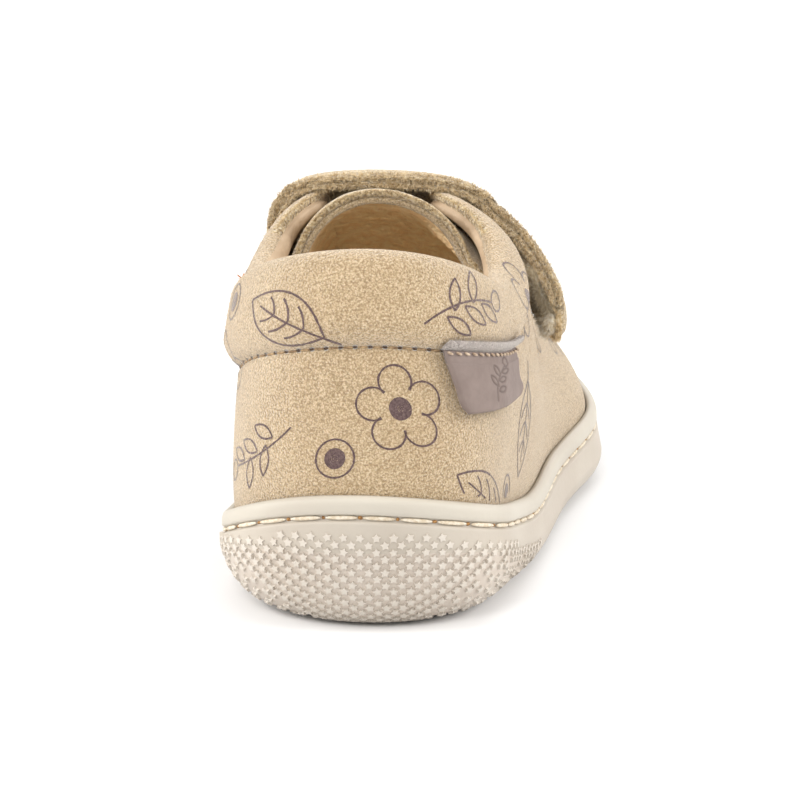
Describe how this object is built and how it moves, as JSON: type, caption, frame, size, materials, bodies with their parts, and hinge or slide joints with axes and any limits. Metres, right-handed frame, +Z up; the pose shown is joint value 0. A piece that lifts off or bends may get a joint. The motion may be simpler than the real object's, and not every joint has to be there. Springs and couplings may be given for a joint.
{
  "type": "barefoot shoe",
  "caption": "Toddler's flexible walking shoe for the right foot: hollow suede upper, padded collar, domed tongue, touch-and-close strap and moulded cup sole.",
  "frame": {"origin": "on the floor, in the middle of the shoe's box", "axes": "+Y towards the toe, +X towards the outer side of the right foot, +Z up"},
  "size_m": [0.0684, 0.15, 0.0655],
  "materials": {
    "outsole": "matte moulded rubber with star studs",
    "insole": "smooth leather footbed",
    "upper": "brushed suede with printed line motifs",
    "tongue": "suede outside, smooth leather inside",
    "strap": "brushed suede, raw edges",
    "strap_backing": "hook fastener tape and suede",
    "heel_tab": "smooth leather, satin"
  },
  "bodies": {
    "root": {"outsole": "outsole", "insole": "insole", "upper": "upper", "tongue": "tongue", "strap": "strap", "strap_backing": "strap_backing", "heel_tab": "heel_tab"}
  },
  "joints": []
}
